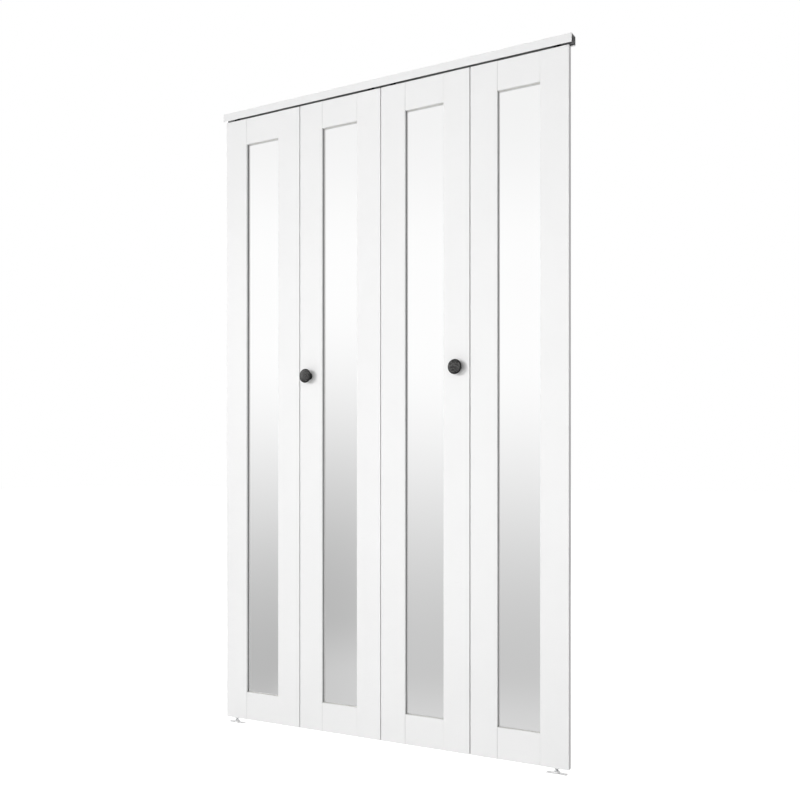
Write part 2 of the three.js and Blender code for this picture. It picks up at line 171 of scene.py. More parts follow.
class DoorStage(bpy.types.PropertyGroup):
    """Camera and lamps."""

    camera_place: FloatVectorProperty(
        name="Camera place", description="Where the camera stands", subtype="XYZ", unit="LENGTH",
        default=(1.4499, -2.4987, -1.2145))
    camera_turn: angle("Camera turn", "How far the camera turns left of the closet's depth", 29.029)
    focal_pixels: FloatProperty(
        name="Focal length in pixels", description="Focal length at the photograph's size",
        default=940.47, min=200, max=4000)
    horizon_row: FloatProperty(
        name="Horizon row", description="Pixel row of the horizon", default=474.8, min=0, max=800)
    key_turn: angle("Key turn", "Angle of the key lamp left of the door's front", 15)
    key_rise: angle("Key rise", "Angle of the key lamp above level", 6.5)
    key_distance: length("Key distance", "Distance of the key lamp", 8, 1, 20)
    key_size: length("Key size", "Edge of the square key lamp", 1.5, 0.1, 5)
    key_power: power("Key power", "Power of the key lamp", 215)
    fill_power: power("Fill power", "Power of the lamp in front of the door", 21)
    back_power: power("Back power", "Power of the lamp above and behind the door", 120)
    glint_power: power("Glint power", "Power of the small lamp that glints on knobs and metal", 78)
    sky: FloatProperty(
        name="Room light", description="Strength of the light that comes from all sides", default=0.27,
        min=0, max=2)


# Node helpers

def feed(tree, socket, value):
    """Links an input to another node's socket, or sets it to any other value."""
    if isinstance(value, bpy.types.NodeSocket):
        tree.links.new(value, socket)
    else:
        socket.default_value = value


def add_node(tree, kind, inputs=None, **settings):
    """A node with its settings and inputs."""
    made = tree.nodes.new(kind)
    for name, value in settings.items():
        setattr(made, name, value)
    for name, value in (inputs or {}).items():
        feed(tree, made.inputs[name], value)
    return made


def coordinates(tree):
    """Object coordinates, in metres."""
    return add_node(tree, "ShaderNodeTexCoord").outputs["Object"]


def noise(tree, place, scale, detail, **settings):
    """The value of a noise texture."""
    inputs = {"Vector": place, "Scale": scale, "Detail": detail, **settings}
    return add_node(tree, "ShaderNodeTexNoise", inputs).outputs[0]


def attribute(tree, name):
    """The number that a piece's mesh holds under a name, or 0 if it holds none."""
    return add_node(tree, "ShaderNodeAttribute", attribute_name=name).outputs["Fac"]


def calculate(tree, operation, first, second):
    """The result socket of one Math node."""
    return add_node(tree, "ShaderNodeMath", {0: first, 1: second}, operation=operation).outputs[0]


def remap(tree, value, low, high, to_low=0.0, to_high=1.0):
    """A value carried smoothly from one range to another."""
    inputs = {"Value": value, "From Min": low, "From Max": high, "To Min": to_low, "To Max": to_high}
    return add_node(tree, "ShaderNodeMapRange", inputs, interpolation_type="SMOOTHSTEP").outputs["Result"]


def mix_colour(tree, factor, first, second):
    """The result socket of one colour Mix node."""
    made = add_node(tree, "ShaderNodeMix", data_type="RGBA")
    sockets = {socket.identifier: socket for socket in (*made.inputs, *made.outputs)}
    for name, value in (("Factor_Float", factor), ("A_Color", first), ("B_Color", second)):
        feed(tree, sockets[name], value)
    return sockets["Result_Color"]


def effect_group(name, inputs, outputs):
    """An empty shader node group with inputs {name: default} and outputs [name], all of them numbers."""
    tree = bpy.data.node_groups.new(name, "ShaderNodeTree")
    for label, default in inputs.items():
        socket = tree.interface.new_socket(label, in_out="INPUT", socket_type="NodeSocketFloat")
        socket.default_value = default
    for label in outputs:
        tree.interface.new_socket(label, in_out="OUTPUT", socket_type="NodeSocketFloat")
    return tree, tree.nodes.new("NodeGroupInput").outputs, tree.nodes.new("NodeGroupOutput").inputs


def place_group(tree, name, **values):
    """One use of an effect group in a material, with its own values."""
    made = tree.nodes.new("ShaderNodeGroup")
    made.node_tree = bpy.data.node_groups[name]
    for label, value in values.items():
        made.inputs[label.replace("_", " ")].default_value = value
    return made.outputs


# Effects that several finishes share

def build_grain_effect():
    """Two layers of noise: a broad one that shifts tone and gloss, and a fine one for the relief."""
    tree, given, out = effect_group(
        "Fine grain",
        {"Broad scale": 4.0, "Fine scale": 900.0, "Roughness": 0.45, "Gloss change": 0.06},
        ["Tone", "Roughness", "Height"])
    place = coordinates(tree)
    broad = noise(tree, place, given["Broad scale"], 4.0)
    change = calculate(tree, "MULTIPLY", calculate(tree, "SUBTRACT", broad, 0.5), given["Gloss change"])
    tree.links.new(remap(tree, broad, 0.3, 0.7), out["Tone"])
    tree.links.new(calculate(tree, "ADD", given["Roughness"], change), out["Roughness"])
    tree.links.new(noise(tree, place, given["Fine scale"], 2.0), out["Height"])


def build_scuff_effect():
    """Short stretched streaks where handling and cleaning leave marks, thinned out by a broad patch mask."""
    tree, given, out = effect_group("Scuffs", {"Scale": 60.0, "Stretch": 6.0, "Amount": 0.5}, ["Mask"])
    place = coordinates(tree)
    stretch = add_node(tree, "ShaderNodeCombineXYZ", {"X": 1.0, "Y": 1.0, "Z": given["Stretch"]}).outputs[0]
    drawn = add_node(tree, "ShaderNodeVectorMath", {0: place, 1: stretch}, operation="MULTIPLY").outputs[0]
    streaks = remap(tree, noise(tree, drawn, given["Scale"], 6.0, Distortion=0.4), 0.58, 0.7)
    patches = remap(tree, noise(tree, place, 3.0, 2.0), 0.5, 0.75)
    both = calculate(tree, "MULTIPLY", streaks, patches)
    tree.links.new(calculate(tree, "MULTIPLY", both, given["Amount"]), out["Mask"])


def build_spangle_effect():
    """Irregular crystal patches, each with its own tone, as zinc plating shows them."""
    tree, given, out = effect_group("Spangle", {"Scale": 250.0, "Contrast": 0.5}, ["Tone"])
    inputs = {"Vector": coordinates(tree), "Scale": given["Scale"]}
    cells = add_node(tree, "ShaderNodeTexVoronoi", inputs).outputs["Color"]
    grey = add_node(tree, "ShaderNodeSeparateColor", {0: cells}).outputs[0]
    spread = calculate(tree, "MULTIPLY", calculate(tree, "SUBTRACT", grey, 0.5), given["Contrast"])
    tree.links.new(calculate(tree, "ADD", spread, 0.5), out["Tone"])


# Finishes

def shade(colour, factor):
    """A colour made lighter or darker, with full alpha."""
    return tuple(min(1.0, channel * factor) for channel in colour) + (1.0,)


def start_material(name, **shader_values):
    """A new material's node tree and its Principled shader, with constant values on its own sockets."""
    material = bpy.data.materials.new(name)
    material.use_nodes = True
    tree = material.node_tree
    shader = tree.nodes["Principled BSDF"]
    for label, value in shader_values.items():
        shader.inputs[label.replace("_", " ")].default_value = value
    return tree, shader


def clad(tree, shader, colour, roughness):
    """Links a colour and a roughness to the shader."""
    tree.links.new(colour, shader.inputs["Base Color"])
    tree.links.new(roughness, shader.inputs["Roughness"])


def relief(tree, shader, height, distance, strength):
    """Feeds a height through a Bump node into the shader's normal."""
    bump = add_node(tree, "ShaderNodeBump", {"Height": height, "Distance": distance, "Strength": strength})
    tree.links.new(bump.outputs["Normal"], shader.inputs["Normal"])


def paint_material(name, colour, roughness, fine_scale):
    """Sprayed satin paint: faint tone drift, orange peel and a few rubbed marks. Where the attribute "seam"
    nears 1 it has a fine dark line of painted shade, and faces with the attribute "bare" show grey primer,
    darkened further as painted shade."""
    tree, shader = start_material(name, Specular_IOR_Level=0.4)
    grain = place_group(tree, "Fine grain", Broad_scale=3.0, Fine_scale=fine_scale, Roughness=roughness,
                        Gloss_change=0.12)
    marks = place_group(tree, "Scuffs", Scale=40.0, Stretch=5.0, Amount=0.35)
    drift = mix_colour(tree, grain["Tone"], shade(colour, 0.985), shade(colour, 1.0))
    worn = mix_colour(tree, marks["Mask"], drift, shade(colour, 0.93))
    # Painted shade: a fine dark line at each rail's left butt seam, where the seam's groove lies in shade.
    seam_shade = remap(tree, attribute(tree, "seam"), 0.989, 0.995)
    seam_shaded = mix_colour(tree, seam_shade, worn, shade(colour, 0.55))
    # Painted shade: faces inside the header cover turn dark grey, primer made darker as the shade inside the
    # channel.
    primed_and_shaded = mix_colour(tree, attribute(tree, "primer_and_shade"), seam_shaded, shade(colour, 0.18))
    clad(tree, shader, primed_and_shaded, grain["Roughness"])
    relief(tree, shader, grain["Height"], 0.05 * MM, 0.35)


def mirror_material(colour):
    """Silvered glass: a near-perfect reflection with faint wiping marks in its gloss."""
    tree, shader = start_material("silvered_glass", Metallic=1.0)
    marks = place_group(tree, "Scuffs", Scale=25.0, Stretch=0.4, Amount=1.0)
    grain = place_group(tree, "Fine grain", Broad_scale=2.0, Fine_scale=30.0, Roughness=0.012,
                        Gloss_change=0.01)
    tone = mix_colour(tree, grain["Tone"], shade(colour, 0.992), shade(colour, 1.0))
    rubbed = calculate(tree, "MULTIPLY", marks["Mask"], 0.03)
    clad(tree, shader, tone, calculate(tree, "ADD", rubbed, grain["Roughness"]))


def board_material(colour):
    """Pressed hardboard: matted brown fibres with darker flecks and a mesh-like relief."""
    tree, shader = start_material("hardboard", Specular_IOR_Level=0.25)
    grain = place_group(tree, "Fine grain", Broad_scale=14.0, Fine_scale=700.0, Roughness=0.78,
                        Gloss_change=0.15)
    flecks = place_group(tree, "Spangle", Scale=900.0, Contrast=0.9)
    fibres = place_group(tree, "Scuffs", Scale=180.0, Stretch=3.0, Amount=1.0)
    base = mix_colour(tree, grain["Tone"], shade(colour, 0.82), shade(colour, 1.08))
    spotted = mix_colour(tree, remap(tree, flecks["Tone"], 0.75, 0.95), base, shade(colour, 0.55))
    haired = mix_colour(tree, fibres["Mask"], spotted, shade(colour, 1.5))
    clad(tree, shader, haired, grain["Roughness"])
    relief(tree, shader, grain["Height"], 0.15 * MM, 0.6)


def metal_material(name, colour, roughness, patch_scale, streak, metallic=1.0):
    """Plated or rolled metal: crystal patches in its tone, drawn streaks in its gloss. Less metallic, it
    reads as oiled or dulled."""
    tree, shader = start_material(name, Metallic=metallic)
    patches = place_group(tree, "Spangle", Scale=patch_scale, Contrast=0.7)
    marks = place_group(tree, "Scuffs", Scale=90.0, Stretch=streak, Amount=1.0)
    grain = place_group(tree, "Fine grain", Broad_scale=25.0, Fine_scale=1500.0, Roughness=roughness,
                        Gloss_change=0.25)
    tone = mix_colour(tree, patches["Tone"], shade(colour, 0.88), shade(colour, 1.1))
    rubbed = mix_colour(tree, marks["Mask"], tone, shade(colour, 1.25))
    clad(tree, shader, rubbed, grain["Roughness"])
    relief(tree, shader, grain["Height"], 0.02 * MM, 0.5)


def moulded_material(name, colour, roughness, specular):
    """Moulded plastic: an even spark-eroded texture with slightly polished high spots."""
    tree, shader = start_material(name, Specular_IOR_Level=specular)
    grain = place_group(tree, "Fine grain", Broad_scale=60.0, Fine_scale=2500.0, Roughness=roughness,
                        Gloss_change=0.2)
    marks = place_group(tree, "Scuffs", Scale=120.0, Stretch=1.0, Amount=0.6)
    tone = mix_colour(tree, grain["Tone"], shade(colour, 0.85), shade(colour, 1.1))
    worn = mix_colour(tree, marks["Mask"], tone, shade(colour, 1.6))
    clad(tree, shader, worn, grain["Roughness"])
    relief(tree, shader, grain["Height"], 0.03 * MM, 0.6)


def knob_material(colour):
    """Mottled charcoal: soft dark blotches a few millimetres across on the face, and a dull rim made near
    black, painted shade where the edge rounds away from the light, with the knob's back as dark.
    """
    tree, shader = start_material("mottled_charcoal", Specular_IOR_Level=0.3)
    blotches = noise(tree, coordinates(tree), 270.0, 2.0, Roughness=0.6, Distortion=0.5)
    grain = place_group(tree, "Fine grain", Broad_scale=90.0, Fine_scale=1400.0, Roughness=0.33,
                        Gloss_change=0.2)
    spots = remap(tree, blotches, 0.44, 0.56)
    mottled = mix_colour(tree, spots, shade(colour, 0.02), shade(colour, 1.8))
    rim = attribute(tree, "rim")
    # Painted shade: the rim and the back of the knob turn near black, as the rounded edge looks where it
    # falls away from the light.
    tone = mix_colour(tree, rim, mottled, shade(colour, 0.05))
    matt_rim = calculate(tree, "MULTIPLY", rim, 0.3)
    dull = calculate(tree, "MAXIMUM", matt_rim, remap(tree, spots, 0.0, 1.0, 0.12, 0.0))
    clad(tree, shader, tone, calculate(tree, "ADD", dull, grain["Roughness"]))
    height = calculate(tree, "ADD", blotches, calculate(tree, "MULTIPLY", grain["Height"], 0.2))
    relief(tree, shader, height, 0.25 * MM, 0.5)


FINISH_OF_SLOT = {
    "panel_paint": "satin_paint",
    "header_paint": "powder_coat",
    "mirror": "silvered_glass",
    "back_board": "hardboard",
    "track_steel": "rolled_steel",
    "zinc_plate": "bright_zinc",
    "pin_steel": "bright_steel",
    "black_plastic": "black_moulding",
    "roller_nylon": "white_nylon",
    "knob_finish": "mottled_charcoal",
}


def build_finishes(colours):
    """Builds the shared effects and then every finish."""
    build_grain_effect()
    build_scuff_effect()
    build_spangle_effect()
    paint_material("satin_paint", colours.paint, roughness=0.42, fine_scale=850.0)
    paint_material("powder_coat", colours.header, roughness=0.38, fine_scale=1300.0)
    mirror_material(colours.silver)
    board_material(colours.board)
    metal_material("rolled_steel", colours.steel, roughness=0.55, patch_scale=120.0, streak=0.1,
                   metallic=0.4)
    metal_material("bright_zinc", colours.zinc, roughness=0.36, patch_scale=420.0, streak=2.0)
    metal_material("bright_steel", colours.bright, roughness=0.24, patch_scale=800.0, streak=0.2)
    moulded_material("black_moulding", colours.plastic, roughness=0.5, specular=0.2)
    moulded_material("white_nylon", colours.nylon, roughness=0.55, specular=0.5)
    knob_material(colours.knob)


# Mesh helpers

def finish_piece(name, mesh, body, slot, smooth=35.0):
    """Links a mesh as a piece, rides it on its body and gives it the finish of its slot."""
    mesh.update()
    mesh.shade_smooth()
    mesh.set_sharp_from_angle(angle=math.radians(smooth))
    mesh.materials.clear()
    mesh.materials.append(bpy.data.materials[FINISH_OF_SLOT[slot]])
    piece = bpy.data.objects.new(name, mesh)
    bpy.context.scene.collection.objects.link(piece)
    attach(piece, body)
    return piece


def new_piece(name, part, body, slot, smooth=35.0):
    """A piece from (vertices, faces), with its faces turned outwards."""
    vertices, faces = part
    mesh = bpy.data.meshes.new(name)
    mesh.from_pydata(vertices.tolist(), [], faces)
    shell = bmesh.new()
    shell.from_mesh(mesh)
    bmesh.ops.recalc_face_normals(shell, faces=shell.faces)
    shell.to_mesh(mesh)
    shell.free()
    return finish_piece(name, mesh, body, slot, smooth)


def body_of(node):
    """The CAD body that holds a node."""
    return NODES[node]["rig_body"]


def points_of(piece):
    """The piece's vertices as an array."""
    return np.array([vertex.co for vertex in piece.data.vertices])


def write_attribute(piece, name, domain, values):
    """Writes one number for each point or face of a piece, for its finish to read."""
    piece.data.attributes.new(name, "FLOAT", domain).data.foreach_set("value", values)


def ease_edges(piece, width, segments):
    """Rounds the piece's sharp edges with a bevel."""
    bevel = piece.modifiers.new("eased_edges", "BEVEL")
    bevel.width = width
    bevel.segments = segments
    bevel.limit_method = "ANGLE"
    bevel.angle_limit = math.radians(40)
    bevel.harden_normals = True


def eased_copy(node, slot, width, segments=2):
    """A copy of a node's own shape, its triangles merged to whole faces and its edges eased."""
    shell = bmesh.new()
    shell.from_mesh(NODES[node].data)
    bmesh.ops.remove_doubles(shell, verts=shell.verts, dist=0.005 * MM)
    bmesh.ops.dissolve_limit(shell, angle_limit=math.radians(1), verts=shell.verts, edges=shell.edges)
    mesh = bpy.data.meshes.new(node)
    shell.to_mesh(mesh)
    shell.free()
    piece = finish_piece("eased_" + node, mesh, body_of(node), slot)
    ease_edges(piece, width, segments)
    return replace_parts(piece, node)


def skin(grid, joined=False):
    """Faces over a grid of closed loops, grid[loop, corner] = [x, y, z]. Each loop is bridged to the next.
    Joined, the last is bridged to the first, and otherwise each end is closed by a fan to its middle."""
    loops, corners = grid.shape[:2]
    here = np.arange(corners)
    after = np.roll(here, -1)
    row = np.arange(loops if joined else loops - 1)[:, None] * corners
    following = (row + corners) % (loops * corners)
    quads = np.stack([row + here, row + after, following + after, following + here], -1)
    faces = quads.reshape(-1, 4).tolist()
    vertices = grid.reshape(-1, 3)
    if joined:
        return vertices, faces
    first, last = len(vertices), len(vertices) + 1
    vertices = np.vstack([vertices, grid[0].mean(0), grid[-1].mean(0)])
    end = (loops - 1) * corners
    faces += np.stack([after, here, np.full(corners, first)], -1).tolist()
    faces += np.stack([end + here, end + after, np.full(corners, last)], -1).tolist()
    return vertices, faces


def revolved(radii, heights, sides):
    """Loops about Z: the point of loop i at angle a is radii[i] * (cos a, sin a), at height heights[i].
    The radii may differ along a loop, as an array of one row for each loop."""
    angles = np.linspace(0, 2 * np.pi, sides, endpoint=False)
    radii = np.broadcast_to(np.asarray(radii, float).reshape(len(heights), -1), (len(heights), sides))
    heights = np.broadcast_to(np.asarray(heights, float)[:, None], radii.shape)
    return np.stack([radii * np.cos(angles), radii * np.sin(angles), heights], -1)


def turned(profile, sides, joined=False):
    """A closed shape turned about Z from [radius, height] points, which end on the axis at both poles or,
    joined, are the closed outline of a ring's section."""
    profile = np.asarray(profile, float)
    return skin(revolved(profile[:, 0], profile[:, 1], sides), joined)


def swept(outline, levels):
    """A closed outline of [x, y] points carried straight along Z through the given levels."""
    outline = np.asarray(outline, float)
    grid = np.empty((len(levels), len(outline), 3))
    grid[..., :2] = outline
    grid[..., 2] = np.asarray(levels, float)[:, None]
    here = np.arange(len(outline))
    vertices, faces = skin(grid, joined=True)
    walls = faces[: (len(levels) - 1) * len(outline)]
    last = (len(levels) - 1) * len(outline)
    return vertices, walls + [here[::-1].tolist(), (here + last).tolist()]


def plate(outline, inner, thickness, ease):
    """A flat plate on z = 0 from its outline, which draws in to the inner one at both faces."""
    grid = np.empty((4, len(outline), 3))
    grid[..., :2] = np.stack([inner, outline, outline, inner])
    grid[..., 2] = np.array([0, ease, thickness - ease, thickness])[:, None]
    return skin(grid)


def merged(parts):
    """Several (vertices, faces) shapes as one."""
    vertices, faces, start = [], [], 0
    for points, corners in parts:
        vertices.append(points)
        faces += [[corner + start for corner in face] for face in corners]
        start += len(points)
    return np.vstack(vertices), faces


def moved(part, offset, turn=np.eye(3)):
    """A (vertices, faces) shape turned by a 3 by 3 matrix and then moved."""
    points, faces = part
    return points @ np.asarray(turn, float).T + np.asarray(offset, float), faces


def eased(points, reach, steps=3, closed=False):
    """A line of points with round corners. The corner P, with neighbours that lie in directions a and b,
    becomes the curve (1-t)^2 (P + reach a) + 2t(1-t) P + t^2 (P + reach b), for t from 0 to 1."""
    points = np.asarray(points, float)
    toward_last = np.roll(points, 1, 0) - points
    toward_next = np.roll(points, -1, 0) - points
    last_length = np.linalg.norm(toward_last, axis=1, keepdims=True)
    next_length = np.linalg.norm(toward_next, axis=1, keepdims=True)
    cut = np.minimum(reach, 0.48 * np.minimum(last_length, next_length))
    start = points + toward_last / last_length * cut
    end = points + toward_next / next_length * cut
    t = np.linspace(0, 1, steps + 1)[None, :, None]
    curve = (1 - t) ** 2 * start[:, None] + 2 * t * (1 - t) * points[:, None] + t ** 2 * end[:, None]
    if closed:
        return curve.reshape(-1, 2)
    return np.vstack([points[:1], curve[1:-1].reshape(-1, 2), points[-1:]])


def on_axis(node, part):
    """A shape made about Z, moved to the upright axis through a node's middle."""
    middle = span_of(node)[2]
    return moved(part, (middle[0], middle[1], 0))


def turned_piece(node, profile, ease, slot, sides, steps=3):
    """A piece turned about a CAD node's axis from an eased profile, in place of that node."""
    shape = on_axis(node, turned(eased(profile, ease, steps), sides))
    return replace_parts(new_piece("turned_" + node, shape, body_of(node), slot), node)


def rounded_rectangle(width, depth, radius):
    """The outline of a rectangle about the origin, with its corners eased by the given radius."""
    signs = np.array([[1, -1], [1, 1], [-1, 1], [-1, -1]])
    return eased(signs * [width / 2, depth / 2], radius, 5, closed=True)


def hex_solid(across_flats, low, high, chamfer, sides=48):
    """A hexagonal nut along Z. Its radius at each angle is half its width over the cosine of the angle from
    a flat's middle, or the radius of a cone at each end, which cuts the corners back, if that is smaller."""
    angles = np.linspace(0, 2 * np.pi, sides, endpoint=False)
    hexagon = across_flats / 2 / np.cos(angles % (np.pi / 3) - np.pi / 6)
    steps = np.linspace(0, 1, 4)
    cone = across_flats / 2 + steps * (hexagon.max() - across_flats / 2)
    rims = np.minimum(hexagon[None, :], cone[:, None])
    heights = np.concatenate([low + steps * chamfer, high - steps[::-1] * chamfer])
    return skin(revolved(np.vstack([rims, rims[::-1]]), heights, sides))


# Turning matrices for shapes made about Z, and a mirroring one for plates that lie on a panel's back
TOWARDS_FRONT = ((1, 0, 0), (0, 0, -1), (0, 1, 0))
TOWARDS_BACK = ((1, 0, 0), (0, 0, 1), (0, -1, 0))
UPSIDE_DOWN = ((1, 0, 0), (0, -1, 0), (0, 0, -1))
ALONG_X = ((0, 0, 1), (0, 1, 0), (-1, 0, 0))
FLAT_ON_BACK = ((1, 0, 0), (0, 0, 1), (0, 1, 0))


# Cross-head screws

CROSS_ANGLES = np.radians([-45, -30, -14, 0, 14, 30])


def cross_head(radius, height, shank_radius, shank_length, tip_length):
    """A cross-head screw about Z, with the underside of its head at z = 0 and its tip below.
    A loop of the recess has the radius min(reach / |cos a|, half / |sin a|), where a is the angle from the
    nearest arm, reach is the arm's length and half is half its width."""
    turns = (CROSS_ANGLES[None, :] + np.radians([0, 90, 180, 270])[:, None]).ravel()
    from_arm = np.tile(CROSS_ANGLES, 4)
    reach = 0.58 * radius
    half = reach * math.tan(CROSS_ANGLES[4])
    with np.errstate(divide="ignore"):
        cross = np.minimum(reach / np.abs(np.cos(from_arm)), half / np.abs(np.sin(from_arm)))
    pitch = 0.55 * shank_radius
    threads = max(2, int((shank_length - tip_length) / pitch))
    thread_heights = tip_length - shank_length + np.arange(2 * threads) * pitch / 2
    thread_radii = shank_radius * np.where(np.arange(2 * threads) % 2, 1.0, 0.8)
    loops = [(0.1 * shank_radius, -shank_length)]
    loops += list(zip(thread_radii, thread_heights))
    loops += [(shank_radius, -0.02 * radius), (0.97 * radius, 0), (radius, 0.25 * height)]
    loops += [(0.9 * radius, 0.7 * height), (0.74 * radius, 0.93 * height)]
    radii = np.array([np.full(len(turns), loop[0]) for loop in loops] + [cross, 0.8 * cross, 0.3 * cross])
    heights = np.array([loop[1] for loop in loops] + [height, 0.35 * height, 0.15 * height])
    grid = np.stack([radii * np.cos(turns), radii * np.sin(turns),
                     np.broadcast_to(heights[:, None], radii.shape)], -1)
    return skin(grid)


# Panel frames, mirrors and boards

class DOOR_OT_panel_frames(bpy.types.Operator):
    """Eases the arrises of the stiles and rails, and marks each rail's left butt seam for a fine line of
    painted shade
    """

    bl_idname = "door.panel_frames"
    bl_label = "Panel frames"

    def execute(self, context):
        for node in nodes_ending("_stile", "_rail"):
            piece = eased_copy(node, "panel_paint", context.scene.door_detail.arris)
            # The seam attribute nears 1 at the rail's left end, where the paint draws a fine line of painted
            # shade.
            if node.endswith("_rail"):
                low, high, _ = span_of(node)
                nearness = (high[0] - points_of(piece)[:, 0]) / (high[0] - low[0])
                write_attribute(piece, "seam", "POINT", nearness)
        return {"FINISHED"}


class DOOR_OT_mirrors(bpy.types.Operator):
    """Sets each mirror's silver at its apparent depth behind the frame's lip"""

    bl_idname = "door.mirrors"
    bl_label = "Mirrors"

    def execute(self, context):
        depth = context.scene.door_detail.glass_depth
        for node in nodes_ending("_mirror"):
            low, high, middle = span_of(node)
            outline = rounded_rectangle(high[0] - low[0], high[2] - low[2], 1.5 * MM)
            arris = 0.3 * MM
            thickness = high[1] - low[1] - depth
            inner = outline * (1 - 2 * arris / (high - low)[[0, 2]])
            pane = plate(outline, inner, thickness, arris)
            pane = moved(pane, (middle[0], high[1], middle[2]), TOWARDS_FRONT)
            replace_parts(new_piece("silvered_" + node, pane, body_of(node), "mirror", 20), node)
        return {"FINISHED"}


class DOOR_OT_glazing(bpy.types.Operator):
    """Sets each silver in the frame's rabbet: a black tape down each side, painted shade for the dark edge
    of the glass, and a white strip at each end, painted light that keeps the rabbet's top and bottom as pale
    as their reveals
    """

    bl_idname = "door.glazing"
    bl_label = "Glazing"

    def execute(self, context):
        detail = context.scene.door_detail
        lap, gap, width, corner, clearance = 7 * MM, 0.02 * MM, 4 * MM, 0.2 * MM, 0.1 * MM
        for node in nodes_ending("_mirror"):
            low, high, middle = span_of(node)
            sight = (high - low) / 2 - lap
            section = rounded_rectangle(width, detail.glass_depth - 2 * gap, corner)
            y = low[1] + detail.glass_depth / 2
            side = swept(section, [low[2] + MM, high[2] - MM])
            end = swept(section, [-sight[0], sight[0]])
            reach = sight[0] + detail.shade_tape_setback + width / 2
            rise = sight[2] + clearance + width / 2
            # Painted shade and light: the black side tapes stand for the dark edge of the glass in the
            # shaded rabbet, and the white end strips keep the rabbet's top and bottom as pale as their
            # reveals.
            shade_tapes = [moved(side, (middle[0] + sign * reach, y, 0)) for sign in (-1, 1)]
            lit_strips = [moved(end, (middle[0], y, middle[2] + sign * rise), ALONG_X) for sign in (-1, 1)]
            panel = node.removesuffix("_mirror")
            new_piece(panel + "_side_shade_tapes", merged(shade_tapes), body_of(node), "black_plastic")
            new_piece(panel + "_end_lit_strips", merged(lit_strips), body_of(node), "roller_nylon")
        return {"FINISHED"}


class DOOR_OT_back_boards(bpy.types.Operator):
    """Eases the backing boards and drives brads round their edges"""

    bl_idname = "door.back_boards"
    bl_label = "Back boards"

    def execute(self, context):
        detail = context.scene.door_detail
        head, dome, shank, sunk, inset = 1.6 * MM, 0.25 * MM, 0.5 * MM, 2 * MM, 4.5 * MM
        brad = turned([[0, -sunk], [shank, -sunk], [shank, 0], [head, 0], [head, 0.5 * dome],
                       [0.7 * head, dome], [0, dome]], sides=12)
        for node in nodes_ending("_back_board"):
            eased_copy(node, "back_board", 0.4 * MM, 1)
            low, high, middle = span_of(node)
            rows = math.ceil((high[2] - low[2]) / detail.brad_pitch)
            heights = np.linspace(low[2] + 3 * inset, high[2] - 3 * inset, rows)
            places = [(x, z) for x in (low[0] + inset, high[0] - inset) for z in heights]
            places += [(middle[0], z) for z in (low[2] + inset, high[2] - inset)]
            brads = merged([moved(brad, (x, high[1], z), TOWARDS_BACK) for x, z in places])
            new_piece(node.replace("back_board", "board_brads"), brads, body_of(node), "pin_steel")
        return {"FINISHED"}


# Header and brackets

class DOOR_OT_header(bpy.types.Operator):
    """Eases the folded edges of the header cover and of the track; the cover's inside faces show grey
    primer, darkened further as painted shade
    """

    bl_idname = "door.header"
    bl_label = "Header"

    def execute(self, context):
        edge = context.scene.door_detail.metal_edge
        cover = eased_copy("header_cover", "header_paint", edge)
        low, high, _ = span_of("header_cover")
        # The inside faces of the cover, which the finish paints dark grey: primer darkened as painted shade.
        centres = np.array([face.center for face in cover.data.polygons])
        within = (centres[:, 1:] > low[1:] + MM) & (centres[:, 1:] < high[1:] - MM)
        primer_and_shade = within.all(1) & (np.abs(centres[:, 0]) < high[0] - MM)
        write_attribute(cover, "primer_and_shade", "FACE", primer_and_shade.astype(float))
        eased_copy("header_track", "track_steel", 0.6 * edge)
        return {"FINISHED"}


def collar_ring(sides, inner, outer, height, ease):
    """A ring of rectangular section with eased edges, standing on z = 0."""
    section = [[inner, 0], [outer, 0], [outer, height], [inner, height]]
    return turned(eased(section, ease, closed=True), sides, joined=True)


class DOOR_OT_brackets(bpy.types.Operator):
    """Eases the top and bottom brackets and adds their turned washers and bosses"""

    bl_idname = "door.brackets"
    bl_label = "Brackets"

    def execute(self, context):
        detail = context.scene.door_detail
        washer = collar_ring(detail.sides, inner=2.5 * MM, outer=5.6 * MM, height=0.8 * MM, ease=0.2 * MM)
        boss = collar_ring(detail.sides, inner=4.4 * MM, outer=8.5 * MM, height=5.5 * MM, ease=0.8 * MM)
        clamp_offset, clamp_drop, foot_thickness = 14 * MM, 8 * MM, 2 * MM
        for side, sign in SIDES.items():
            top, bottom = side + "_top_bracket", side + "_bottom_bracket"
            pivot = span_of(side + "_bottom_pivot")[2]
            eased_copy(top, "zinc_plate", detail.metal_edge)
            eased_copy(bottom, "header_paint", detail.metal_edge)
            under = (pivot[0] + sign * clamp_offset, 0, span_of(top)[1][2] - clamp_drop)
            new_piece(side + "_clamp_washer", moved(washer, under, UPSIDE_DOWN), "header", "pin_steel")
            foot = (pivot[0], 0, span_of(bottom)[0][2] + foot_thickness)
            new_piece(side + "_bracket_boss", moved(boss, foot), "header", "header_paint")
        return {"FINISHED"}


# Pivots and guides

